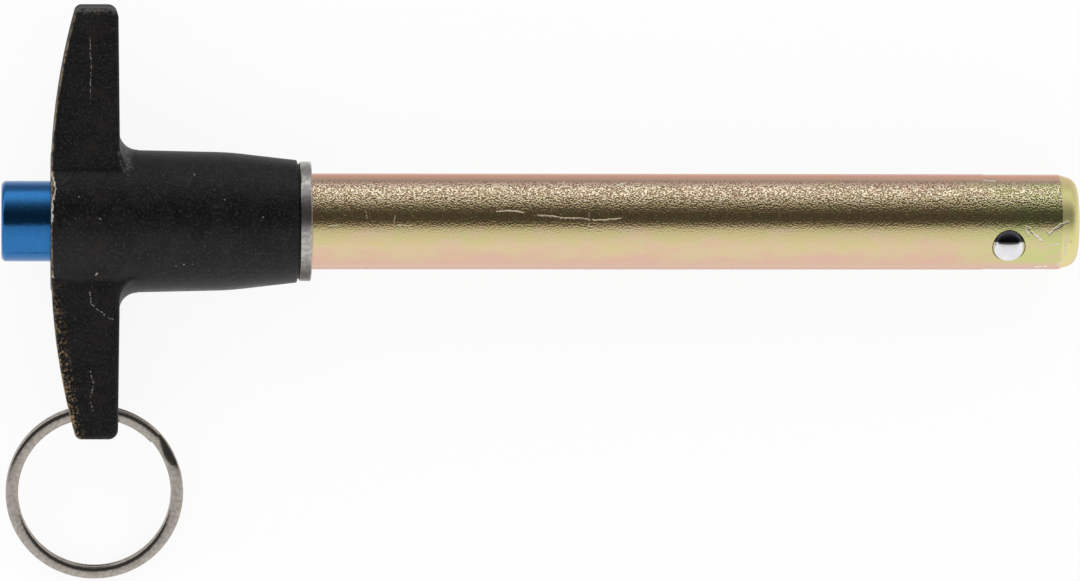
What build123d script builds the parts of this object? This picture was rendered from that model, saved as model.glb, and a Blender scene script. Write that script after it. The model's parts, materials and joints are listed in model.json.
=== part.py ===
"""Ball lock pin with a T-handle, single acting. Millimetres and degrees.

The pin lies as it comes to rest: hub, lower ball, lower wing tip and split ring touch the floor, +Z is up.
The origin is on the pin's axis, in the front face of the thrust collar, and +X runs to the pin's tip.
Every piece is drawn in the pin's own frame, `handle_plane`: its X runs along the pin towards the tip,
its Y along the crossbar, and its Z out of the upper face of the handle.
Pressing the button moves the spindle towards the tip, and its neck lets the two balls drop inwards.
"""

import os
from math import asin, atan2, cos, degrees, hypot, radians, sin, sqrt

from build123d import *

# Shank: the locking pin proper, with a nose that is turned a little smaller than the grip
shank_radius = 6.35
grip_length = 88.9
nose_length = 12.75
nose_radius = 6.29
nose_step_length = 0.6
nose_chamfer_length = 2.45
nose_chamfer_depth = 0.8
tip_rounding = 1.65
spigot_radius = 6.1
spigot_chamfer = 0.5

# Spindle: runs through the shank, and carries the ramp and the neck that free the balls
spindle_bore_radius = 2.8
spindle_clearance = 0.06
spindle_tail_radius = 2.0
spindle_tail_front = 24.6
spindle_tail_depth = 8.0
spindle_lead = 4.4
spindle_end_chamfer = 0.4
neck_length = 3.4
button_travel = 5.0
ball_drop = 1.45

# Locking balls
ball_radius = 2.38125
ball_setback = 3.25
ball_protrusion = 1.27
ball_turn = 118.0
ball_clearance = 0.06
ball_count = 2

# Thrust collar
collar_radius = 7.9
collar_thickness = 1.59
collar_edge_rounding = 0.25
collar_clearance = 0.05

# T-handle: one casting, a bowed crossbar on a tapered hub
crossbar_length = 56.8
crossbar_depth = 12.7
crossbar_thickness = 9.05
bow_drop = 3.35
bow_flat = 9.0
inner_face_fall = 0.2
bow_corner_rounding = 1.0
wing_corner_rounding = 1.3
crossbar_edge_rounding = 0.6
hub_root_radius = 9.45
hub_waist_radius = 9.13
hub_waist_station = 10.85
hub_waist_rounding = 40.0
hub_front_radius = 8.1
hub_length = 23.46
hub_front_rounding = 0.25
hub_fillet = 2.4
root_rounding = 1.3
root_fade = 0.2
boss_radius = 7.6
boss_length = 0.25

# Release button and the pin that crosses it
button_radius = 5.33
button_clearance = 0.12
button_flange_radius = 6.0
button_flange_thickness = 1.5
button_proud = 6.5
button_edge_rounding = 0.7
button_stop_depth = 5.6
button_mouth_chamfer = 0.3
button_pin_radius = 1.0
button_pin_setback = 2.2
button_pin_shortfall = 0.15
tail_clearance = 0.05
full_press_clearance = 0.4

# Return spring
spring_wire_radius = 0.35
spring_mean_radius = 3.6
spring_turns = 8
spring_pocket_radius = 4.15
spring_pocket_end = 8.0

# Split ring: an oval wire wound twice, which steps from one level to the other beside its ends
eye_radius = 1.7
eye_setback = 3.175
eye_offset = 0.36
ring_outer_radius = 11.75
ring_wire_width = 1.66
ring_wire_thickness = 0.9
ring_coil_gap = 0.06
ring_reach = 10.95
ring_joggle_middle = 29.0
ring_joggle_angle = 24.0
ring_joggle_sections = 5
ring_end_gap = 2.0

# Fits
seat_clearance = 0.02
floor_clearance = 0.02

# Stations along the pin that follow from the sizes
shank_front = grip_length + nose_length
nose_edge = shank_front - nose_chamfer_length
ball_station = grip_length + ball_setback
handle_front = -collar_thickness - boss_length
inner_face = handle_front - hub_length
handle_back = inner_face - crossbar_thickness
button_stop = handle_back + button_stop_depth
button_back = handle_back - button_proud
flange_front = button_stop + button_flange_thickness
spigot_back = flange_front + button_travel + full_press_clearance
button_pin_station = button_stop - button_pin_setback
shoulder_height = shank_radius - spigot_radius
ball_centre_radius = shank_radius + ball_protrusion - ball_radius
port_radius = ball_radius + ball_clearance
handle_bore_radius = spigot_radius + seat_clearance
land_radius = spindle_bore_radius - spindle_clearance
neck_radius = land_radius - ball_drop
neck_front = ball_station - button_travel
neck_back = neck_front - neck_length
half_crossbar = crossbar_length / 2
half_depth = crossbar_depth / 2
eye_station = inner_face - (crossbar_thickness - bow_drop) / 2 - eye_offset
eye_distance = half_crossbar - eye_setback

# Rest pose: the pin dips until the nose or the lower ball is on the floor with the waist of the hub,
# and rolls until the lower wing tip is too. The roll moves the ball a little, so the two are settled in turn.
wing_y = half_crossbar - crossbar_edge_rounding
wing_z = half_depth - crossbar_edge_rounding
hub_taper = (hub_root_radius - hub_waist_radius) / (-hub_waist_station - inner_face)
root_back = handle_back + 1.5 * crossbar_edge_rounding
root_front = inner_face + hub_fillet / 2
root_front_radius = hub_root_radius - hub_taper * hub_fillet / 2
roll = 0.0
for settling in range(4):
    ball_reach = ball_centre_radius * sin(radians(180 - ball_turn) - roll) + ball_radius
    nose_dip = atan2(hub_waist_radius - nose_radius, nose_edge + hub_waist_station)
    ball_dip = atan2(hub_waist_radius - ball_reach, ball_station + hub_waist_station)
    dip = min(nose_dip, ball_dip)
    floor_drop = hub_waist_radius * cos(dip) - hub_waist_station * sin(dip)
    wing_rise = (floor_drop - crossbar_edge_rounding - inner_face * sin(dip)) / cos(dip)
    roll = asin(wing_rise / hypot(wing_y, wing_z)) - atan2(wing_z, wing_y)

# Frame of the pin
pin_direction = Vector(1, 0, 0).rotate(Axis.Y, degrees(dip))
face_direction = Vector(0, 0, 1).rotate(Axis.X, degrees(roll)).rotate(Axis.Y, degrees(dip))
handle_plane = Plane(origin=(0, 0, 0), x_dir=pin_direction, z_dir=face_direction)
pin_axis = Axis((0, 0, 0), pin_direction)

# The ring hangs from its eye in the lower wing and lies down on the floor
eye_centre = handle_plane.from_local_coords(Vector(eye_station, -eye_distance, 0))
ring_middle_radius = ring_outer_radius - ring_wire_width / 2
ring_level = (ring_wire_thickness + ring_coil_gap) / 2
far_wire = ring_reach + ring_middle_radius
eye_height = eye_centre.Z + floor_drop - floor_clearance
ring_droop = 0.0
for settling in range(8):
    wire_drop = hypot(ring_wire_width / 2 * sin(ring_droop), ring_wire_thickness / 2 * cos(ring_droop))
    far_rise = asin((eye_height - wire_drop) / hypot(far_wire, ring_level))
    ring_droop = far_rise - atan2(ring_level, far_wire)
ring_turn = degrees(ring_droop - roll)
ring_normal = face_direction.rotate(pin_axis, ring_turn)
ring_centre = eye_centre - handle_plane.y_dir.rotate(pin_axis, ring_turn) * ring_reach
ring_plane = Plane(origin=ring_centre, x_dir=pin_direction, z_dir=ring_normal)
ring_axis = Axis(ring_centre, ring_normal)


def cross_plane(station):
    """Plane square to the pin at a station, its X along the crossbar and its normal to the tip."""
    return Plane(
        origin=handle_plane.from_local_coords(Vector(station, 0, 0)),
        x_dir=handle_plane.y_dir,
        z_dir=pin_direction,
    )


def radial_plane(station, turn):
    """Plane on the axis at a station whose normal points outwards, turned about the pin from the crossbar."""
    return Plane(
        origin=handle_plane.from_local_coords(Vector(station, 0, 0)),
        x_dir=pin_direction,
        z_dir=handle_plane.y_dir.rotate(pin_axis, turn),
    )


def wire_plane(angle, level):
    """Plane square to the ring's wire at an angle round the ring, its X outwards, at a coil's level."""
    outwards = ring_plane.x_dir.rotate(ring_axis, angle)
    return Plane(
        origin=ring_centre + outwards * ring_middle_radius + ring_normal * level,
        x_dir=outwards,
        z_dir=ring_normal.cross(outwards),
    )


# Flare: the fillet that runs round the hub where it leaves the crossbar
with BuildPart() as hub_flare:
    with BuildSketch(handle_plane):
        with BuildLine():
            foot = Line((inner_face, 0), (inner_face, hub_root_radius + hub_fillet))
            RadiusArc(foot @ 1, (inner_face + hub_fillet, hub_root_radius), -hub_fillet)
            Polyline((inner_face + hub_fillet, hub_root_radius), (inner_face + hub_fillet, 0), foot @ 0)
        make_face()
    revolve(axis=pin_axis)
    with BuildSketch(handle_plane):
        with Locations((inner_face, 0)):
            Rectangle(4 * hub_fillet, 4 * hub_root_radius)
    extrude(amount=half_depth, both=True, mode=Mode.INTERSECT)


def root_section(station, hub, rounding, side, face):
    """Section of a root at a station, beside a hub of a radius, on one side of the pin and one face."""
    lean = sqrt(1 - ((half_depth + rounding) / (hub + rounding)) ** 2)
    toe = (side * (hub + rounding) * lean, face * half_depth)
    seat = (side * hub * lean, face * hub * (half_depth + rounding) / (hub + rounding))
    with BuildSketch(cross_plane(station)) as section:
        with BuildLine():
            RadiusArc(toe, seat, side * face * rounding)
            Polyline(seat, (seat[0], face * wing_z), (toe[0], face * wing_z), toe)
        make_face()
    return section.sketch


# Roots: the rounding in each corner between the hub and a flat face of the crossbar, which fades at its ends
with BuildPart() as hub_roots:
    for side in (-1, 1):
        for face in (-1, 1):
            sections = [
                root_section(root_back, hub_root_radius, root_fade, side, face),
                root_section(root_back + root_rounding, hub_root_radius, root_rounding, side, face),
                root_section(inner_face, hub_root_radius, root_rounding, side, face),
                root_section(root_front, root_front_radius, root_fade, side, face),
            ]
            loft(sections=sections, ruled=True)

# T-handle
with BuildPart() as t_handle:
    with BuildSketch(handle_plane):
        with BuildLine():
            back = Line((handle_back, 0), (handle_back, bow_flat / 2))
            bow_end = (handle_back + bow_drop, half_crossbar)
            bow = TangentArc(back @ 1, bow_end, tangent=back % 1)
            wing_end = Line(bow_end, (inner_face - inner_face_fall, half_crossbar))
            fall_start = (inner_face, hub_root_radius + hub_fillet)
            Polyline(wing_end @ 1, fall_start, (inner_face, 0), back @ 0)
        make_face()
        mirror(about=Plane.XZ)
        for side, rounding in ((0, bow_corner_rounding), (-1, wing_corner_rounding)):
            wing_ends = vertices().group_by(Axis.Y)[0] + vertices().group_by(Axis.Y)[-1]
            fillet(wing_ends.group_by(Axis.X)[side], rounding)
    extrude(amount=half_depth, both=True)
    add(hub_flare.part)
    face_outlines = faces().filter_by(Axis((0, 0, 0), face_direction)).edges()
    fillet(face_outlines, crossbar_edge_rounding)
    with BuildSketch(handle_plane):
        with BuildLine():
            Polyline(
                (handle_back, 0),
                (handle_back, hub_root_radius),
                (inner_face, hub_root_radius),
                (-hub_waist_station, hub_waist_radius),
                (handle_front, hub_front_radius),
                (handle_front, 0),
                close=True,
            )
        make_face()
        waist = vertices().sort_by_distance((-hub_waist_station, hub_waist_radius))[0]
        fillet(waist, hub_waist_rounding)
        front_rim = vertices().group_by(Axis.X)[-1].sort_by(Axis.Y)[-1]
        fillet(front_rim, hub_front_rounding)
        back_rim = vertices().group_by(Axis.X)[0].sort_by(Axis.Y)[-1]
        fillet(back_rim, crossbar_edge_rounding)
    revolve(axis=pin_axis)
    add(hub_roots.part)
    with BuildSketch(cross_plane(handle_front)):
        Circle(boss_radius)
    extrude(amount=boss_length)
    with BuildSketch(cross_plane(button_stop)):
        Circle(handle_bore_radius)
    extrude(amount=-button_stop, mode=Mode.SUBTRACT)
    with BuildSketch(cross_plane(button_back)):
        Circle(button_radius + button_clearance)
    extrude(amount=button_stop - button_back, mode=Mode.SUBTRACT)
    with BuildSketch(cross_plane(handle_back)):
        Circle(button_radius + button_clearance + button_mouth_chamfer)
    extrude(amount=button_mouth_chamfer, taper=45, mode=Mode.SUBTRACT)
    with BuildSketch(cross_plane(eye_station - crossbar_thickness)):
        with Locations((-eye_distance, 0)):
            Circle(eye_radius)
    extrude(amount=2 * crossbar_thickness, mode=Mode.SUBTRACT)
t_handle.part.label = "t_handle"

# Thrust collar, with a cone in its bore that takes the shoulder of the shank
with BuildPart() as thrust_collar:
    with BuildSketch(cross_plane(-collar_thickness)):
        Circle(collar_radius)
        Circle(spigot_radius + collar_clearance, mode=Mode.SUBTRACT)
    extrude(amount=collar_thickness)
    collar_back, collar_front = faces().filter_by(pin_axis).sort_by(pin_axis)
    rims = collar_back.outer_wire().edges() + collar_front.outer_wire().edges()
    bore_mouth = collar_front.inner_wires()[0].edges()
    fillet(rims, collar_edge_rounding)
    chamfer(bore_mouth, shoulder_height)
thrust_collar.part.label = "thrust_collar"

# Shank
with BuildPart() as shank:
    with BuildSketch(handle_plane):
        with BuildLine():
            Polyline(
                (spigot_back, 0),
                (spigot_back, spigot_radius - spigot_chamfer),
                (spigot_back + spigot_chamfer, spigot_radius),
                (-shoulder_height, spigot_radius),
                (0, shank_radius),
                (grip_length, shank_radius),
                (grip_length + nose_step_length, nose_radius),
                (nose_edge, nose_radius),
                (shank_front, nose_radius - nose_chamfer_depth),
                (shank_front, 0),
                close=True,
            )
        make_face()
        tip_rim = vertices().group_by(Axis.X)[-1].sort_by(Axis.Y)[-1]
        fillet(tip_rim, tip_rounding)
    revolve(axis=pin_axis)
    with BuildSketch(cross_plane(spigot_back)):
        Circle(spindle_bore_radius)
    extrude(amount=shank_front - spigot_back, mode=Mode.SUBTRACT)
    with BuildSketch(cross_plane(spigot_back)):
        Circle(spring_pocket_radius)
    extrude(amount=-spring_pocket_end - spigot_back, mode=Mode.SUBTRACT)
    for i in range(ball_count):
        port = radial_plane(ball_station, ball_turn + i * 360 / ball_count)
        with BuildSketch(port):
            Circle(port_radius)
        extrude(amount=ball_centre_radius, mode=Mode.SUBTRACT)
        with Locations(port.offset(ball_centre_radius)):
            Sphere(port_radius, mode=Mode.SUBTRACT)
shank.part.label = "shank"

# Spindle
with BuildPart() as spindle:
    with BuildSketch(handle_plane):
        with BuildLine():
            spindle_end = ball_station + spindle_lead
            Polyline(
                (flange_front - spindle_tail_depth, 0),
                (flange_front - spindle_tail_depth, spindle_tail_radius),
                (-spindle_tail_front, spindle_tail_radius),
                (-spindle_tail_front, land_radius),
                (neck_back, land_radius),
                (neck_back, neck_radius),
                (neck_front, neck_radius),
                (ball_station, land_radius),
                (spindle_end - spindle_end_chamfer, land_radius),
                (spindle_end, land_radius - spindle_end_chamfer),
                (spindle_end, 0),
                close=True,
            )
        make_face()
    revolve(axis=pin_axis)
    with BuildSketch(radial_plane(button_pin_station, 90)):
        Circle(button_pin_radius + seat_clearance)
    extrude(amount=button_radius, both=True, mode=Mode.SUBTRACT)
spindle.part.label = "spindle"

# Release button
with BuildPart() as release_button:
    with BuildSketch(cross_plane(button_back)):
        Circle(button_radius)
    extrude(amount=flange_front - button_back)
    fillet(faces().sort_by(pin_axis)[0].edges(), button_edge_rounding)
    with BuildSketch(cross_plane(flange_front)):
        Circle(button_flange_radius)
    extrude(amount=seat_clearance - button_flange_thickness)
    with BuildSketch(cross_plane(flange_front)):
        Circle(spindle_tail_radius + tail_clearance)
    extrude(amount=-spindle_tail_depth - tail_clearance, mode=Mode.SUBTRACT)
    with BuildSketch(radial_plane(button_pin_station, 90)):
        Circle(button_pin_radius + seat_clearance)
    extrude(amount=2 * button_radius, both=True, mode=Mode.SUBTRACT)
release_button.part.label = "release_button"

# Cross pin that holds the button on the spindle
with BuildPart() as button_pin:
    with BuildSketch(radial_plane(button_pin_station, 90)):
        Circle(button_pin_radius)
    extrude(amount=button_radius - button_pin_shortfall, both=True)
button_pin.part.label = "button_pin"

# Return spring, between the button's flange and the end of its pocket in the shank
with BuildPart() as return_spring:
    spring_back = flange_front + spring_wire_radius + seat_clearance
    spring_length = -spring_pocket_end - spring_wire_radius - seat_clearance - spring_back
    with BuildLine():
        coil = Helix(
            pitch=spring_length / spring_turns,
            height=spring_length,
            radius=spring_mean_radius,
            center=handle_plane.from_local_coords(Vector(spring_back, 0, 0)),
            direction=pin_direction,
        )
    with BuildSketch(Plane(origin=coil @ 0, z_dir=coil % 0)):
        Circle(spring_wire_radius)
    sweep(is_frenet=True)
return_spring.part.label = "return_spring"


def locking_ball(turn):
    """One ball, held out by the land of the spindle."""
    with BuildPart() as ball:
        with Locations(radial_plane(ball_station, turn).offset(ball_centre_radius)):
            Sphere(ball_radius)
    return ball.part


lock_balls = []
for i in range(ball_count):
    lock_balls.append(locking_ball(ball_turn + i * 360 / ball_count))
    lock_balls[-1].label = f"lock_ball_{i + 1}"

# Split ring
with BuildPart() as split_ring:
    joggle_start = ring_joggle_middle - ring_joggle_angle / 2
    joggle_end = ring_joggle_middle + ring_joggle_angle / 2
    for first, last, height in (
        (joggle_end + ring_end_gap, joggle_start + 360, ring_level),
        (joggle_end, joggle_start + 360 - ring_end_gap, -ring_level),
    ):
        with BuildSketch(wire_plane(first, height)):
            Ellipse(ring_wire_width / 2, ring_wire_thickness / 2)
        revolve(axis=ring_axis, revolution_arc=last - first)
    for i in range(ring_joggle_sections):
        share = i / (ring_joggle_sections - 1)
        height = ring_level * cos(radians(180 * share))
        with BuildSketch(wire_plane(joggle_start + share * ring_joggle_angle, height)):
            Ellipse(ring_wire_width / 2, ring_wire_thickness / 2)
    loft()
split_ring.part.label = "split_ring"

os.makedirs("parts", exist_ok=True)
turned = [thrust_collar, shank, spindle, release_button, button_pin, return_spring]
for piece in [t_handle.part, split_ring.part, *lock_balls, *(made.part for made in turned)]:
    export_step(piece, f"parts/{piece.label}.step")

print("dip", round(degrees(dip), 3), "roll", round(degrees(roll), 3), "ring turn", round(ring_turn, 3))
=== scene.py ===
"""Ball lock pin with a T-handle: the finishes, the wear, the floor, the light and the camera.

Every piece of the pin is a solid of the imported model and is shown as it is. This script gives each one
the finish that its real counterpart has. Lengths inside the finishes are millimetres in the pin's own frame:
X runs along the pin to its tip, Y along the crossbar, and Z out of the upper face of the handle.
"""

import json
import logging
import math
from dataclasses import dataclass, field
from enum import Enum
from functools import partial
from typing import Any

import bpy
from mathutils import Euler, Matrix, Vector


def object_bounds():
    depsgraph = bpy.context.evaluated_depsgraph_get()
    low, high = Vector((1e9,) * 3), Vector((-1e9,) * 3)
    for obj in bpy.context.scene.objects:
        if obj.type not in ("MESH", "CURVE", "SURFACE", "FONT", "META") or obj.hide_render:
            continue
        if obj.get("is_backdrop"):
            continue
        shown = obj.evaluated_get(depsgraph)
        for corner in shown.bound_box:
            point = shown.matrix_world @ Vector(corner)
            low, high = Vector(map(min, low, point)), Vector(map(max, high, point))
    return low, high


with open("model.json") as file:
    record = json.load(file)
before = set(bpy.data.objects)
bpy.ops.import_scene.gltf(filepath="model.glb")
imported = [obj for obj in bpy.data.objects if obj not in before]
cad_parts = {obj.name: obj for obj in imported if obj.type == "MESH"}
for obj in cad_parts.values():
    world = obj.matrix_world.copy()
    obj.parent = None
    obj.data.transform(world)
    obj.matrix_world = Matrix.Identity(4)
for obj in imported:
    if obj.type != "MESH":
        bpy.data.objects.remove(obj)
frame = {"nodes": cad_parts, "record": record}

MM = 0.001
log = logging.getLogger("ball_lock_pin")


def linear(hex_colour: str) -> tuple[float, float, float, float]:
    """Turns an sRGB colour into the linear one that the shaders take.

    Args:
        hex_colour: The colour as #rrggbb.

    Returns:
        Red, green, blue and an alpha of one.
    """
    channels = [int(hex_colour[i : i + 2], 16) / 255 for i in (1, 3, 5)]
    red, green, blue = [c / 12.92 if c <= 0.04045 else ((c + 0.055) / 1.055) ** 2.4 for c in channels]
    return red, green, blue, 1.0


def add_node(
    tree: bpy.types.NodeTree, kind: str, *values: Any, sockets: dict | None = None, **settings: Any
) -> Any:
    """Adds a node, sets it up and links it.

    Args:
        tree: The tree that takes the node.
        kind: The node's type, without its leading ShaderNode.
        *values: A number, a colour as #rrggbb or another node's output for each input in use, in order.
        sockets: The same for inputs that are given by name.
        **settings: The node's own settings, such as its operation.

    Returns:
        The node's first output that is in use, or the node itself if it has none.
    """
    node = tree.nodes.new("ShaderNode" + kind)
    for name, value in settings.items():
        setattr(node, name, value)
    in_use = [socket for socket in node.inputs if socket.enabled]
    given = list(zip(in_use, values))
    given += [(socket, sockets[socket.name]) for socket in in_use if socket.name in (sockets or {})]
    for socket, value in given:
        if isinstance(value, bpy.types.NodeSocket):
            tree.links.new(value, socket)
        else:
            socket.default_value = linear(value) if isinstance(value, str) else value
    outputs = [socket for socket in node.outputs if socket.enabled]
    return outputs[0] if outputs else node


@dataclass(frozen=True)
class PinFrame:
    """The pin's own axes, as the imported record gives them.

    Attributes:
        origin: Where the pin's axis meets the front of the thrust collar, in metres.
        along: Direction to the pin's tip.
        across: Direction of the crossbar, away from the split ring.
    """

    origin: Vector
    along: Vector
    across: Vector

    @classmethod
    def from_record(cls, record: dict) -> "PinFrame":
        """Reads the axes from the shank's mount and from the eye that the ring swings in.

        Args:
            record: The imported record.

        Returns:
            The pin's frame.
        """
        shank = next(m for m in record["mounts"] if m["name"] == "shank")
        swing = next(j for j in record["behaviour"]["joints"] if j["name"] == "ring_swing")
        origin = Vector(shank["pos_m"])
        along = Vector(shank["axis"]).normalized()
        eye = Vector(swing["pos_m"]) - origin
        across = -(eye - along * eye.dot(along)).normalized()
        return cls(origin, along, across)

    @property
    def face(self) -> Vector:
        """Direction out of the upper face of the handle."""
        return self.along.cross(self.across)

    @property
    def turn(self) -> Euler:
        """Rotation from the row's axes to the pin's."""
        return Matrix((self.along, self.across, self.face)).transposed().to_euler("XYZ")

    def point(self, x: float, y: float, z: float) -> Vector:
        """Place of a point that is given in millimetres in the pin's frame."""
        return self.origin + (self.along * x + self.across * y + self.face * z) * MM

    def lengths(self, tree: bpy.types.NodeTree) -> Any:
        """Adds nodes that give the shaded point in millimetres in the pin's frame.

        Args:
            tree: The material's node tree.

        Returns:
            The output that carries the point.
        """
        place = add_node(tree, "TexCoord").node.outputs["Object"]
        return add_node(tree, "Mapping", place, self.origin, self.turn, (MM, MM, MM), vector_type="TEXTURE")

    def normal(self, tree: bpy.types.NodeTree) -> Any:
        """Adds nodes that give the surface's direction in the pin's frame.

        Args:
            tree: The material's node tree.

        Returns:
            The outputs that carry its X, Y and Z.
        """
        outwards = add_node(tree, "TexCoord").node.outputs["Normal"]
        turned = add_node(tree, "Mapping", outwards, (0, 0, 0), self.turn, vector_type="TEXTURE")
        return add_node(tree, "SeparateXYZ", turned).node.outputs


@dataclass(frozen=True)
class Mark:
    """A scratch or chip on the upper side, as a line through points of the pin's frame, in millimetres."""

    width: float
    points: tuple[tuple[float, float], ...]

    def runs(self) -> list[tuple[Vector, Vector]]:
        """Start and direction of each straight run of the mark."""
        ends = [Vector((*point, 0)) for point in self.points]
        return [(start, end - start) for start, end in zip(ends, ends[1:])]


class Pattern:
    """A material's node tree, with the shaded point at hand and the patterns that several finishes share."""

    EDGE_WANDERS_PER_MM = 1.8
    SIDE_FADE = 1.0

    def __init__(self, name: str, pin: PinFrame) -> None:
        """Starts a material.

        Args:
            name: The real material and its finish.
            pin: The pin's frame, which the patterns follow.
        """
        self.material = bpy.data.materials.new(name)
        self.material.use_nodes = True
        self.material.node_tree.nodes.clear()
        self.add = partial(add_node, self.material.node_tree)
        self.place = pin.lengths(self.material.node_tree)
        self.x, self.y, self.z = self.add("SeparateXYZ", self.place).node.outputs
        self.normal_x, self.normal_y, self.normal_z = pin.normal(self.material.node_tree)

    def clouds(self, size: float, detail: float, low: float, high: float, stretch: float = 1.0) -> Any:
        """Adds soft random patches.

        Args:
            size: Size of a patch, in millimetres.
            detail: How much finer structure the patches have.
            low: Level of the noise at which a patch starts.
            high: Level at which it is full.
            stretch: How many times longer a patch is along the pin than across it.

        Returns:
            An output from 0, between the patches, to 1 inside them.
        """
        place = self.add("VectorMath", self.place, (1 / stretch, 1, 1), operation="MULTIPLY")
        noise = self.add("TexNoise", sockets={"Vector": place, "Scale": 1 / size, "Detail": detail})
        return self.add("MapRange", noise, low, high, interpolation_type="SMOOTHSTEP")

    def marks(self, marks: tuple[Mark, ...], ragged: float) -> Any:
        """Draws scratches and chips, by the distance from the shaded point to each of their runs.

        Args:
            marks: The scratches.
            ragged: How far their edges wander, in millimetres.

        Returns:
            An output that is 1 in the middle of a scratch and 0 away from them all and on the lower side.
        """
        noise = self.add(
            "TexNoise", sockets={"Vector": self.place, "Scale": self.EDGE_WANDERS_PER_MM, "Detail": 3.0}
        ).node
        away = self.add("VectorMath", noise.outputs["Color"], (0.5, 0.5, 0.5), operation="SUBTRACT")
        reach = (2 * ragged, 2 * ragged, 0)
        moved = self.add("VectorMath", away, reach, self.place, operation="MULTIPLY_ADD")
        flat = self.add("VectorMath", moved, (1, 1, 0), operation="MULTIPLY")
        found = 0.0
        for mark in marks:
            for start, run in mark.runs():
                there = self.add("VectorMath", flat, start, operation="SUBTRACT")
                along = self.add("VectorMath", there, run / run.length_squared, operation="DOT_PRODUCT")
                share = self.add("Clamp", along)
                foot = self.add("VectorMath", run, sockets={"Scale": share}, operation="SCALE")
                gap = self.add("VectorMath", there, foot, operation="DISTANCE")
                near = self.add("MapRange", gap, mark.width, 0.0, interpolation_type="SMOOTHSTEP")
                found = self.add("Math", found, near, operation="MAXIMUM")
        return self.add("MapRange", self.z, 0.0, self.SIDE_FADE, 0.0, found)

    def finish(self, shader: dict, height: Any, depth: float) -> bpy.types.Material:
        """Closes the material with one principled shader under one bump.

        Args:
            shader: The principled shader's inputs.
            height: The output that carries the relief, from 0 to 1.
            depth: How deep the relief is, in millimetres.

        Returns:
            The material.
        """
        bump = self.add("Bump", sockets={"Height": height, "Distance": depth * MM, "Strength": 1.0})
        surface = self.add("BsdfPrincipled", sockets={**shader, "Normal": bump})
        self.add("OutputMaterial", surface)
        return self.material


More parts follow.
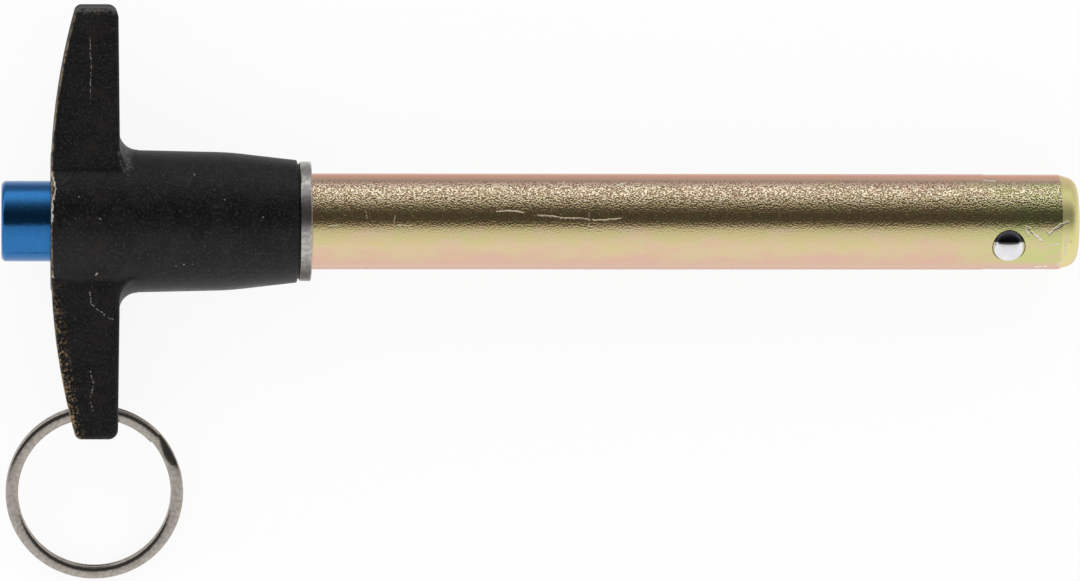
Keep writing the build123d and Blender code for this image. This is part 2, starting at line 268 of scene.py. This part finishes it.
@dataclass(frozen=True)
class YellowZincSteel:
    """Turned steel, zinc plated and passivated yellow.

    The eye sees a satin gold with small greenish clouds and a green tip, and pale bare metal in the
    scratches. Painted sheen by the surface's direction: yellower on top, warmer on the upper flank, rosy and
    then darker red where it slopes away. Painted glints and painted shade on the grit along the upper flank,
    and a painted shadow round the scratches. The real grit is finer than it is drawn here, which is as fine
    as a picture of the whole pin shows.

    Attributes:
        patch: Size of a cloud of colour, in millimetres.
        grit: Size of a grain, in millimetres.
        grit_depth: How deep the grain and the scratches are, in millimetres.
        ragged: How far the edges of the scratches wander, in millimetres.
    """

    top_sheen: str = "#d8c794"
    flank_sheen: str = "#dfc08a"
    gold: str = "#dcc5a0"
    slope_sheen: str = "#dfb9a3"
    steep_sheen: str = "#cf8d6b"
    green: str = "#cdcf8c"
    bare: str = "#e6ddca"
    # Painted shadow round the scratches.
    scratch_shadow: str = "#6a5a3e"
    nose_tint: str = "#f0e6a4"
    # Painted glint and painted shade on the grit of the upper flank.
    grit_glint: str = "#fff3d6"
    grit_shade: str = "#5f4828"
    roughness: float = 0.15
    nose_roughness: float = 0.42
    patch: float = 1.9
    grit: float = 0.21
    grit_depth: float = 0.036
    ragged: float = 0.14

    def plating(self, pattern: Pattern, shank: "Shank") -> Any:
        """Adds the colours of the plating, with painted sheen by the surface's direction.

        Args:
            pattern: The material in the making.
            shank: The shank, which says where the plating turns greener.

        Returns:
            The output that carries the colour.
        """
        add = pattern.add
        upright = add("Math", pattern.normal_z, operation="ABSOLUTE")
        drift = pattern.clouds(self.patch, 4.0, 0.25, 0.75, 2.2)
        slope = add("Math", drift, 0.34, upright, operation="MULTIPLY_ADD")
        flank = add("MapRange", pattern.normal_y, -0.12, 0.1)
        veins = pattern.clouds(self.patch / 2, 5.0, 0.5, 0.68, 1.6)
        faint_veins = add("Math", veins, 0.45, operation="MULTIPLY")
        tip = add("MapRange", pattern.x, *shank.greener, 0.0, add("MapRange", drift, 0.1, 0.5, 0.35, 0.95))
        # Painted sheen by the surface's direction: yellower on top, rosy and then darker red where the
        # surface slopes away, warmer on the upper flank. The green clouds and the greener tip are the
        # plating's own colour.
        layers = (
            (add("MapRange", slope, 1.06, 1.2), self.top_sheen),
            (add("MapRange", slope, 1.03, 0.76), self.slope_sheen),
            (add("MapRange", upright, 0.42, 0.25), self.steep_sheen),
            (add("MapRange", upright, 0.75, 0.98, 0.0, flank), self.flank_sheen),
            (add("MapRange", upright, 0.72, 0.98, 0.0, faint_veins), self.green),
            (add("MapRange", upright, 0.45, 0.62, 0.0, tip), self.green),
        )
        colour = self.gold
        for share, tint in layers:
            colour = add("Mix", share, colour, tint, data_type="RGBA")
        return colour

    def material(self, pin: PinFrame, shank: "Shank") -> bpy.types.Material:
        """Makes the material.

        Args:
            pin: The pin's frame.
            shank: The shank, which says where its scratches, greener plating and nose are.

        Returns:
            The material.
        """
        pattern = Pattern("yellow_zinc_plated_steel", pin)
        add = pattern.add
        nose = add("MapRange", pattern.x, *shank.nose)
        gritty = add("MapRange", nose, 1.0, 0.0, 0.0, add("MapRange", pattern.normal_y, 0.9, 0.78))
        # Band of the upper flank where the grit carries painted glints and painted shade.
        flank = add("MapRange", pattern.normal_y, 0.28, 0.5, 0.0, gritty)
        grit = pattern.clouds(self.grit, 0.5, 0.32, 0.68)
        worn = pattern.clouds(0.5, 2.0, 0.25, 0.45)
        scratched = add("Math", pattern.marks(shank.scratches, self.ragged), worn, operation="MULTIPLY")
        # Painted shadow: a dark rim round each scratch.
        scratch_shadow = add("MapRange", scratched, 0.6, 0.35, 0.0, add("MapRange", scratched, 0.03, 0.25, 0.0, 0.3))
        strong = add("Math", flank, 0.75, operation="MULTIPLY")
        layers = (
            (add("Math", nose, 0.7, operation="MULTIPLY"), self.nose_tint),
            # Painted shade and painted glints on the grit, only in that band.
            (add("MapRange", grit, 0.4, 0.1, 0.0, strong), self.grit_shade),
            (add("MapRange", grit, 0.6, 0.9, 0.0, flank), self.grit_glint),
            (scratch_shadow, self.scratch_shadow),
            (add("MapRange", scratched, 0.3, 0.6), self.bare),
        )
        colour = self.plating(pattern, shank)
        for share, tint in layers:
            colour = add("Mix", share, colour, tint, data_type="RGBA")
        satin = add("MapRange", nose, 0.0, 1.0, self.roughness, self.nose_roughness)
        rough = add("Math", grit, 0.06, satin, operation="MULTIPLY_ADD")
        swell = add("MapRange", pattern.normal_y, 0.12, 0.5, 0.3, 1.0)
        swell = add("Math", swell, gritty, operation="MULTIPLY")
        relief = add("Math", grit, swell, operation="MULTIPLY")
        relief = add("Math", relief, scratched, operation="SUBTRACT")
        shader = {"Base Color": colour, "Metallic": 1.0, "Roughness": rough}
        return pattern.finish(shader, relief, self.grit_depth)


@dataclass(frozen=True)
class BlackCoatedCasting:
    """Die-cast zinc under a thin black coat.

    The eye sees a grainy near-black satin, a faint brown bloom beside the parting lines, and warm or pale
    bare metal where the coat is rubbed or chipped off the edges.

    Attributes:
        grain: Size of a grain of the cast skin, in millimetres.
        grain_depth: How deep the grain, the parting lines and the chips are, in millimetres.
        chip_ragged: How far the edges of the chips wander, in millimetres.
        scuff_ragged: The same for the scuffs.
        score_ragged: The same for the scores.
        pit_ragged: The same for the pits.
    """

    coat: str = "#070707"
    haze: str = "#121112"
    speckle: str = "#2b2829"
    bloom: str = "#1c1412"
    rubbed: str = "#8d7452"
    scuffed_and_lit: str = "#4a4845"
    pit: str = "#7d7a75"
    bare: str = "#cfcac0"
    roughness: float = 0.46
    ior: float = 1.32
    grain: float = 0.32
    grain_depth: float = 0.03
    chip_ragged: float = 0.3
    scuff_ragged: float = 0.5
    score_ragged: float = 0.2
    pit_ragged: float = 0.15

    def material(self, pin: PinFrame, handle: "Handle") -> bpy.types.Material:
        """Makes the material.

        Args:
            pin: The pin's frame.
            handle: The handle, which says where its parting lines, rubbed edges and chips are.

        Returns:
            The material.
        """
        pattern = Pattern("black_coated_zinc_casting", pin)
        add = pattern.add
        gaps = []
        for station in handle.parting_lines:
            away = add("Math", pattern.x, station, operation="SUBTRACT")
            gaps.append(add("Math", away, operation="ABSOLUTE"))
        gap = add("Math", *gaps, operation="MINIMUM")
        bloom = add("MapRange", gap, 1.4, 0.2, 0.0, pattern.clouds(2.0, 3.0, 0.5, 0.65))
        parting = add("MapRange", gap, handle.parting_width, 0.0, 0.0, pattern.clouds(1.2, 3.0, 0.4, 0.6))
        steep = add("Math", pattern.normal_z, operation="ABSOLUTE")
        rim = add("MapRange", steep, 0.8, 0.5, 0.0, pattern.clouds(0.9, 4.0, 0.4, 0.58))
        rim = add("MapRange", steep, 0.05, 0.25, 0.0, rim)
        rim = add("MapRange", pattern.normal_x, -0.3, -0.5, 0.0, rim)
        square = add("Math", pattern.y, 2.0, operation="POWER")
        inset = add("Math", square, -handle.bow_curve, pattern.x, operation="MULTIPLY_ADD")
        lower = add("MapRange", pattern.y, *handle.rubbed_along, 0.0, pattern.clouds(0.34, 3.0, 0.52, 0.64))
        rubbed = (handle.back + handle.rubbed_inset, handle.back + handle.rubbed_full)
        rubbed_strip = add("MapRange", inset, *rubbed, 0.0, lower)
        grain = pattern.clouds(self.grain, 4.0, 0.2, 0.8)
        dust = pattern.clouds(0.24, 2.0, 0.74, 0.84)
        dots = pattern.clouds(0.3, 2.0, 0.46, 0.54)
        # Worn grey scuffs, and one thin painted highlight where the hub meets the bar.
        scuffed_and_lit = pattern.marks(handle.scuffs_and_highlight, self.scuff_ragged)
        scuffs_and_highlight = add("MapRange", scuffed_and_lit, 0.0, 1.0, 0.0, pattern.clouds(0.4, 3.0, 0.35, 0.6))
        chipped = pattern.marks(handle.chips, self.chip_ragged)
        chipped = add("Math", chipped, pattern.clouds(0.5, 2.0, 0.3, 0.46), operation="MULTIPLY")
        scores = pattern.marks(handle.scores, self.score_ragged)
        layers = (
            (pattern.clouds(2.5, 5.0, 0.4, 0.7), self.haze),
            (add("MapRange", grain, 0.55, 0.95, 0.0, 0.8), self.speckle),
            (bloom, self.bloom),
            (add("Math", rim, rubbed_strip, operation="MAXIMUM"), self.rubbed),
            (scuffs_and_highlight, self.scuffed_and_lit),
            (add("MapRange", pattern.clouds(5.0, 2.0, 0.5, 0.62), 0.0, 1.0, 0.0, dust), self.pit),
            (add("Math", scores, dots, operation="MULTIPLY"), self.pit),
            (pattern.marks(handle.pits, self.pit_ragged), self.pit),
            (chipped, self.bare),
        )
        colour = self.coat
        for share, tint in layers:
            colour = add("Mix", share, colour, tint, data_type="RGBA")
        relief = add("Math", parting, 1.5, grain, operation="MULTIPLY_ADD")
        relief = add("Math", relief, chipped, operation="SUBTRACT")
        metal = add("MapRange", chipped, 0.3, 0.8, 0.0, 0.6)
        shader = {"Base Color": colour, "Metallic": metal, "Roughness": self.roughness, "IOR": self.ior}
        return pattern.finish(shader, relief, self.grain_depth)


@dataclass(frozen=True)
class BrightMetal:
    """Bare or dyed metal with the fine rings of its lathe or draw plate, small clouds in its shine, and
    painted shade on one side where it is asked for.

    Attributes:
        cloud: Size of a cloud in the shine, in millimetres.
        ring: Spacing of the rings, in millimetres.
        ring_depth: How deep they are, in millimetres.
        painted_dark: Colour of painted shade on one side: the collar's shaded lower side, the balls' dark
            reflection.
        painted_dark_band: Where that painted shade starts and is full, as the share of the surface's
            direction across the pin.
    """

    colour: str
    shade: str
    roughness: float
    cloud: float = 1.2
    ring: float = 0.3
    ring_depth: float = 0.004
    painted_dark: str = "#3d3532"
    painted_dark_band: tuple[float, float] | None = None

    def material(self, name: str, pin: PinFrame) -> bpy.types.Material:
        """Makes the material.

        Args:
            name: The metal and its finish.
            pin: The pin's frame, along which the rings follow each other.

        Returns:
            The material.
        """
        pattern = Pattern(name, pin)
        add = pattern.add
        mottle = pattern.clouds(self.cloud, 4.0, 0.35, 0.65)
        colour = add("Mix", mottle, self.colour, self.shade, data_type="RGBA")
        # Painted shade on one side: the collar's shaded lower side and the balls' dark reflection.
        if self.painted_dark_band:
            painted_dark_share = add("MapRange", pattern.normal_y, *self.painted_dark_band, 0.0, 0.95)
            colour = add("Mix", painted_dark_share, colour, self.painted_dark, data_type="RGBA")
        rings = add("TexNoise", sockets={"W": pattern.x, "Scale": 1 / self.ring}, noise_dimensions="1D")
        rough = add("MapRange", mottle, 0.0, 1.0, self.roughness * 0.85, self.roughness * 1.2)
        relief = add("Math", rings, mottle)
        shader = {"Base Color": colour, "Metallic": 1.0, "Roughness": rough}
        return pattern.finish(shader, relief, self.ring_depth)


class Metal(Enum):
    """The bright metals of the pin."""

    # Lathe-turned steel: a soft grey shine, and painted shade darkens its lower side.
    TURNED_STEEL = BrightMetal("#bdbbb6", "#a19f9b", 0.26, cloud=0.6, painted_dark_band=(-0.48, -0.88))
    # Anodised aluminium: a clear blue dye that tints a sharp metal shine.
    BLUE_ANODISED_ALUMINIUM = BrightMetal("#2f6fac", "#3474b2", 0.16, cloud=0.5)
    # Hardened and polished balls: a mirror with no rings, with a painted dark reflection on one side.
    POLISHED_BEARING_STEEL = BrightMetal(
        "#ececee", "#e2e2e6", 0.03, ring_depth=0.0, painted_dark="#20202b", painted_dark_band=(0.05, 0.12)
    )
    # Drawn stainless wire: a warm grey satin with small clouds.
    SATIN_STAINLESS_WIRE = BrightMetal("#b3aca4", "#a0988f", 0.17, cloud=0.5)
    # Ground steel: an even pale grey satin.
    GROUND_STEEL = BrightMetal("#b4b4b4", "#a2a2a2", 0.25)
    # Drawn spring wire: a duller grey than the ground steel.
    DRAWN_SPRING_WIRE = BrightMetal("#a6a6a6", "#949494", 0.3)


def dress(node: str, material: bpy.types.Material) -> None:
    """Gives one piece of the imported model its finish.

    Args:
        node: The piece's node name.
        material: Its finish.
    """
    for slot in frame["nodes"][node].material_slots:
        slot.material = material
    log.info("%s: %s", node, material.name)


@dataclass
class Handle:
    """The T-handle's casting.

    Attributes:
        back: Station of the flat back of the bow.
        bow_curve: How fast the bowed back runs forward, per millimetre squared across.
        parting_lines: Stations of the two lines that the die left.
        parting_width: Half the width of such a line.
        rubbed_inset: How far in from the bowed edge the coat of the lower wing is rubbed.
        rubbed_full: How far in it is rubbed the most.
        rubbed_along: Where the rubbed strip of the lower wing starts and is full, across the pin.
        chips: Places where the coat is chipped off.
        scores: Fine dotted scores.
        pits: Small pale pits.
        scuffs_and_highlight: Wider places where it is worn grey, and one thin painted highlight where the
            hub meets the bar.
    """

    back: float = -34.35
    bow_curve: float = 0.0041
    parting_lines: tuple[float, float] = (-28.4, -27.2)
    parting_width: float = 0.16
    rubbed_inset: float = 1.5
    rubbed_full: float = 0.2
    rubbed_along: tuple[float, float] = (-6.0, -18.0)
    chips: tuple[Mark, ...] = (
        Mark(0.17, ((-34.2, 6.6), (-33.7, 4.9), (-34.2, 2.9), (-34.2, 0.5))),
        Mark(0.16, ((-34.1, -6.7), (-34.0, -7.0))),
        Mark(0.15, ((-28.5, -6.5), (-28.4, -6.4))),
    )
    scores: tuple[Mark, ...] = (
        Mark(0.12, ((-29.2, -8.9), (-29.05, -10.3))),
        Mark(0.12, ((-29.0, -10.5), (-28.3, -11.1), (-27.6, -11.6), (-26.9, -12.3), (-26.1, -12.5))),
        Mark(0.12, ((-29.1, -19.3), (-28.7, -21.0), (-29.2, -22.9), (-28.8, -24.6))),
        Mark(0.1, ((-29.3, 25.5), (-29.1, 21.0), (-29.2, 16.0))),
    )
    pits: tuple[Mark, ...] = (
        Mark(0.12, ((-30.7, 3.8), (-30.65, 3.85))),
        Mark(0.09, ((-31.2, 1.05), (-31.15, 1.0))),
        Mark(0.11, ((-15.6, 6.6), (-15.5, 6.65))),
        Mark(0.11, ((-6.6, 1.15), (-6.5, 1.2))),
        Mark(0.09, ((-11.6, 3.4), (-11.55, 3.45))),
        Mark(0.09, ((-18.0, -5.3), (-17.9, -5.35))),
        Mark(0.12, ((-17.0, -5.2), (-16.85, -5.15))),
        Mark(0.09, ((-15.9, -5.1), (-15.8, -5.05))),
        Mark(0.09, ((-28.0, 1.0), (-27.8, 0.9))),
    )
    scuffs_and_highlight: tuple[Mark, ...] = (
        Mark(1.0, ((-24.4, 12.6), (-24.3, 9.4))),
        Mark(0.7, ((-24.3, 9.4), (-24.15, 7.4))),
        # Painted highlight where the hub meets the bar, drawn as a thin light-grey line.
        Mark(0.22, ((-25.5, 9.5), (-25.2, 7.8), (-24.3, 6.6))),
        Mark(0.6, ((-33.0, 28.1), (-26.0, 28.1))),
        Mark(0.4, ((-22.0, -9.0), (-12.0, -8.9), (-6.0, -8.3))),
    )

    def build(self, pin: PinFrame) -> None:
        """Dresses the handle."""
        dress("t_handle", BlackCoatedCasting().material(pin, self))


@dataclass
class Shank:
    """The plated shank and the collar that takes its thrust.

    Attributes:
        greener: Where the plating turns greener towards the tip, and where it is greenest, along the pin.
        nose: Where the gritty plating ends and the plain chamfer of the nose starts, along the pin.
        scratches: The scratches through the plating: round the ball, at the tip, and along the grip.
    """

    greener: tuple[float, float] = (84.0, 94.0)
    nose: tuple[float, float] = (99.1, 99.3)
    scratches: tuple[Mark, ...] = (
        Mark(0.24, ((94.49, -0.17), (94.35, -0.73), (94.65, -1.25))),
        Mark(0.2, ((94.76, -0.42), (95.48, -1.25))),
        Mark(0.42, ((95.7, -1.38), (96.35, -1.98))),
        Mark(0.14, ((97.1, -0.82), (97.5, -1.35))),
        Mark(0.2, ((97.4, -1.34), (98.0, -0.53), (98.7, -0.01), (99.5, 0.34), (100.1, 0.44))),
        Mark(0.15, ((98.3, -0.53), (99.1, -0.01))),
        Mark(0.24, ((99.8, -1.34), (99.72, -2.6), (99.76, -3.99))),
        Mark(0.26, ((100.34, -2.1), (100.4, -2.2))),
        Mark(0.16, ((97.8, -2.72), (98.8, -2.52))),
        Mark(0.24, ((95.7, -5.83), (97.5, -5.73))),
        Mark(0.16, ((98.8, -5.62), (99.55, -4.5))),
        Mark(0.18, ((89.1, 5.8), (90.6, 5.65))),
        Mark(0.13, ((29.3, 1.3), (31.4, 1.13), (33.4, 0.88), (35.3, 0.84), (37.8, 0.6), (40.8, 0.88))),
        Mark(0.09, ((24.3, 1.76), (25.9, 1.9), (27.9, 1.66))),
        Mark(0.1, ((36.5, 1.47), (36.4, -0.46))),
        Mark(0.09, ((10.9, 1.2), (10.7, -0.1))),
        Mark(0.08, ((11.3, 0.0), (13.0, -0.2))),
        Mark(0.08, ((2.1, -0.2), (3.3, -0.1))),
        Mark(0.09, ((7.0, 1.8), (7.2, 0.9))),
        Mark(0.14, ((40.3, 5.0), (41.5, 5.4))),
        Mark(0.07, ((23.3, 4.95), (25.7, 5.4))),
        Mark(0.07, ((30.9, 4.85), (33.4, 5.4))),
    )

    def build(self, pin: PinFrame) -> None:
        """Dresses the shank and the thrust collar."""
        dress("shank", YellowZincSteel().material(pin, self))
        dress("thrust_collar", Metal.TURNED_STEEL.value.material("turned_steel", pin))


@dataclass
class LockWork:
    """The release button, the spindle that it pushes, the spring, and the balls that the spindle frees."""

    pieces: dict[str, Metal] = field(
        default_factory=lambda: {
            "release_button": Metal.BLUE_ANODISED_ALUMINIUM,
            "button_pin": Metal.GROUND_STEEL,
            "spindle": Metal.GROUND_STEEL,
            "return_spring": Metal.DRAWN_SPRING_WIRE,
            "lock_ball_1": Metal.POLISHED_BEARING_STEEL,
            "lock_ball_2": Metal.POLISHED_BEARING_STEEL,
        }
    )

    def build(self, pin: PinFrame) -> None:
        """Dresses the pieces, with one material for each metal."""
        metals = dict.fromkeys(self.pieces.values())
        made = {metal: metal.value.material(metal.name.lower(), pin) for metal in metals}
        for node, metal in self.pieces.items():
            dress(node, made[metal])


@dataclass
class KeyRing:
    """The split ring in the eye of the lower wing."""

    metal: Metal = Metal.SATIN_STAINLESS_WIRE

    def build(self, pin: PinFrame) -> None:
        """Dresses the ring."""
        dress("split_ring", self.metal.value.material(self.metal.name.lower(), pin))


@dataclass
class Softbox:
    """A long soft lamp beside the pin, at an angle from straight up towards the upper wing.

    Attributes:
        name: The lamp's name.
        tilt: Angle of its middle from straight up, in degrees, towards the upper wing.
        spread: Angle from its lower edge to its upper edge, in degrees.
        radiance: How bright its face is, where 1 shows white.
        distance: How far it stands from the pin, in metres.
        length: How long it is along the pin, in metres.
    """

    name: str
    tilt: float
    spread: float
    radiance: float
    distance: float = 1.8
    length: float = 5.0

    def build(self, centre: Vector) -> None:
        """Adds the lamp, facing a point. Polished metal shows the room's own panels instead of it.

        Args:
            centre: The point.
        """
        angle = math.radians(self.tilt)
        away = Vector((0, math.sin(angle), math.cos(angle)))
        lamp = bpy.data.lights.new(self.name, "AREA")
        lamp.shape = "RECTANGLE"
        lamp.size = self.length
        lamp.size_y = 2 * self.distance * math.tan(math.radians(self.spread) / 2)
        lamp.energy = self.radiance * math.pi * lamp.size * lamp.size_y
        lamp_object = bpy.data.objects.new(self.name, lamp)
        bpy.context.scene.collection.objects.link(lamp_object)
        across = Vector((1, 0, 0))
        turned = Matrix((across, away.cross(across), away)).transposed().to_4x4()
        lamp_object.matrix_world = Matrix.Translation(centre + away * self.distance) @ turned
        lamp_object.visible_camera = False
        lamp_object.visible_glossy = False
        log.info("%s: lamp", self.name)


@dataclass
class Studio:
    """The pale floor, the lamps, the room and the camera.

    Attributes:
        floor_size: Length of the floor's sides, in metres.
        floor_gap: How far the floor lies below the pin, in metres.
        floor_glow: Share of the floor's look that no shadow darkens.
        floor_sheen: The same share in reflections.
        far_dim: Share of the floor's brightness that is left in reflections beyond the upper wing, a painted
            dark band that the metal shows.
        far_from: Where that dimming starts and is full, in metres from the pin.
        far_again: Where it starts to fade and is weakest.
        far_back: How much of the brightness is back there.
        ambient: Brightness of the even light from all round.
        ends: Brightness of the room in reflections beyond the pin's ends.
        end_from: Where that starts and is full, by how far along the pin a reflection points, up to 1.
        panels: Brightness of the room in reflections, by the angle from straight up towards the upper wing.
        camera_tilt: Direction to the camera, in the pin's frame.
        camera_roll: Turn of the picture, in degrees.
        camera_distance: How far the camera stands from the point that it looks at, in metres.
        camera_aim: That point, in millimetres in the pin's frame.
        camera_clip: Nearest distance that it sees, in metres.
        lens: Its focal length, in millimetres.
        sensor: Width of its sensor, in millimetres.
    """

    floor_colour: str = "#f4f4f4"
    floor_size: float = 8.0
    floor_gap: float = 0.00002
    floor_glow: float = 0.9
    floor_sheen: float = 0.85
    far_dim: float = 0.42
    far_from: tuple[float, float] = (0.019, 0.038)
    far_again: tuple[float, float] = (0.09, 0.2)
    far_back: float = 0.35
    ambient: float = 0.6
    ends: float = 0.8
    end_from: tuple[float, float] = (0.9, 0.98)
    panels: tuple[tuple[float, float], ...] = (
        (-90, 1.0),
        (-62, 1.0),
        (-39, 0.89),
        (-24, 0.77),
        (-18, 0.7),
        (-14.5, 0.33),
        (-10.5, 0.11),
        (-5, 0.065),
        (5, 0.06),
        (20, 0.06),
        (27, 0.085),
        (34, 0.13),
        (42, 0.22),
        (50, 0.4),
        (58, 0.72),
        (66, 1.05),
        (75, 1.2),
        (85, 1.15),
    )
    camera_tilt: tuple[float, float, float] = (-0.059, 0.078, 0.995)
    camera_roll: float = 0.02
    camera_distance: float = 1.22
    camera_aim: tuple[float, float, float] = (30.4, -9.16, 0.0)
    camera_clip: float = 0.05
    lens: float = 307.0
    sensor: float = 36.0
    lamps: list[Softbox] = field(
        default_factory=lambda: [
            Softbox("near_softbox", -57.0, 66.0, 0.85),
            Softbox("far_softbox", 63.0, 48.0, 1.2),
        ]
    )

    def build(self, pin: PinFrame) -> None:
        """Builds the whole studio.

        Args:
            pin: The pin's frame.
        """
        low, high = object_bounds()
        centre = (low + high) / 2
        self.build_floor(centre, low.z)
        for lamp in self.lamps:
            lamp.build(centre)
        self.build_room()
        self.build_camera(pin)

    def build_floor(self, centre: Vector, level: float) -> None:
        """Adds the floor, white to the camera, white in reflections but for a painted dark band beyond the
        upper wing, and with part of the pin's shadow on it.

        Args:
            centre: The middle of the pin.
            level: The height that the pin rests on.
        """
        bpy.ops.object.select_all(action="DESELECT")
        place = (centre.x, centre.y, level - self.floor_gap)
        bpy.ops.mesh.primitive_plane_add(size=self.floor_size, location=place)
        floor = bpy.context.object
        floor.name = "floor"
        material = bpy.data.materials.new("white_paper_floor")
        material.use_nodes = True
        tree = material.node_tree
        tree.nodes.clear()
        add = partial(add_node, tree)
        path = add("LightPath").node.outputs
        across = add("SeparateXYZ", add("TexCoord").node.outputs["Object"]).node.outputs["Y"]
        # Painted shade: in reflections only, a band of the floor beyond the upper wing is dimmed, which the
        # shank shows as a dark line.
        near = add("MapRange", across, *self.far_from, 1.0, self.far_dim)
        dim = add("Math", add("MapRange", across, *self.far_again, 0.0, self.far_back), near)
        strength = add("Mix", path["Is Glossy Ray"], 1.0, dim)
        paper = add("BsdfDiffuse", add("Mix", strength, "#000000", self.floor_colour, data_type="RGBA"))
        white = add("Emission", (1, 1, 1, 1), strength)
        seen = add("Math", path["Is Camera Ray"], path["Is Transmission Ray"], operation="MAXIMUM")
        glow = add("Math", seen, self.floor_glow, operation="MULTIPLY")
        share = add("Math", path["Is Glossy Ray"], self.floor_sheen, glow, operation="MULTIPLY_ADD")
        add("OutputMaterial", add("MixShader", share, paper, white))
        floor.data.materials.append(material)
        floor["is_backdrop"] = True
        log.info("floor: %s", material.name)

    def build_room(self) -> None:
        """Sets the room: its bright and dark panels in reflections, and an even fill for the rest."""
        world = bpy.data.worlds.new("studio")
        world.use_nodes = True
        tree = world.node_tree
        tree.nodes.clear()
        add = partial(add_node, tree)
        x, y, z = add("SeparateXYZ", add("TexCoord")).node.outputs
        tilt = add("Math", y, z, operation="ARCTAN2")
        shades = add("ValToRGB", add("MapRange", tilt, -math.pi / 2, math.pi / 2))
        stops = shades.node.color_ramp.elements
        stops.remove(stops[-1])
        for index, (angle, level) in enumerate(self.panels):
            stop = stops[0] if index == 0 else stops.new(angle / 180 + 0.5)
            stop.position = angle / 180 + 0.5
            stop.color = (level, level, level, 1)
        endways = add("Math", x, operation="ABSOLUTE")
        open_ends = add("MapRange", endways, *self.end_from, 0.0, self.ends)
        glossy = add("Math", shades, open_ends, operation="MAXIMUM")
        path = add("LightPath").node.outputs
        light = add("Mix", path["Is Glossy Ray"], self.ambient, glossy)
        strength = add("Mix", path["Is Camera Ray"], light, 1.0)
        add("OutputWorld", add("Background", (1, 1, 1, 1), strength))
        bpy.context.scene.world = world

    def build_camera(self, pin: PinFrame) -> None:
        """Adds the camera, almost straight over the pin, with the pin level in the picture.

        Args:
            pin: The pin's frame.
        """
        x, y, z = self.camera_tilt
        back = (pin.along * x + pin.across * y + pin.face * z).normalized()
        right = (pin.along - back * pin.along.dot(back)).normalized()
        data = bpy.data.cameras.new("camera")
        data.lens = self.lens
        data.sensor_width = self.sensor
        data.clip_start = self.camera_clip
        camera = bpy.data.objects.new("camera", data)
        bpy.context.scene.collection.objects.link(camera)
        turned = Matrix((right, back.cross(right), back)).transposed().to_4x4()
        roll = Matrix.Rotation(math.radians(self.camera_roll), 4, "Z")
        eye = pin.point(*self.camera_aim) + back * self.camera_distance
        camera.matrix_world = Matrix.Translation(eye) @ turned @ roll
        bpy.context.scene.camera = camera


def main() -> None:
    """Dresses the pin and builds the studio."""
    logging.basicConfig(level=logging.INFO, format="%(name)s: %(message)s")
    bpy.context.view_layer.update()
    pin = PinFrame.from_record(frame["record"])
    for assembly in (Handle(), Shank(), LockWork(), KeyRing(), Studio()):
        assembly.build(pin)
    bpy.context.scene.view_settings.view_transform = "Standard"


if __name__ == "__main__":
    main()
